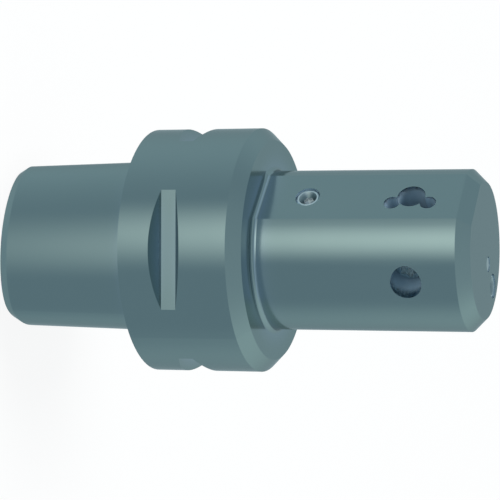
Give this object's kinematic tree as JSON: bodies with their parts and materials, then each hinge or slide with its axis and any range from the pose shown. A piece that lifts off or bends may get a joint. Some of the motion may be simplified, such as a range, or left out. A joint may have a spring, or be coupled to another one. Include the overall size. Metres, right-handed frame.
{
  "type": "polygon shank tool holder",
  "caption": "Tool holder with a tapered three-lobed shank, a slotted flange and a round nose with a flat, holding a small boring bar across the nose under a side screw.",
  "frame": {"origin": "middle of the shank's end face, on the holder's axis", "axes": "+Z along the axis from the shank to the nose; -Y is the outward normal of the nose's flat; +X is the side that one lobe of the shank and the clamp screw look toward"},
  "size_m": [0.04, 0.04, 0.079],
  "materials": {
    "holder_steel": "hardened tool steel, fine ground, satin",
    "screw_steel": "hardened screw steel, phosphated and oiled",
    "pin_steel": "ground dowel steel, bright",
    "plug_steel": "screw steel, zinc plated, bright"
  },
  "bodies": {
    "holder": {"holder_body": "holder_steel", "seat_stop_pin": "pin_steel", "flat_plug_screw": "plug_steel", "face_plug_screw": "plug_steel"},
    "clamp_screw": {"clamp_screw": "screw_steel"}
  },
  "joints": [
    {"name": "clamp_screw_travel", "type": "slide", "parent": "holder", "child": "clamp_screw", "axis": [1, 0, 0], "range_m": [-0.00125, 0.002]}
  ]
}
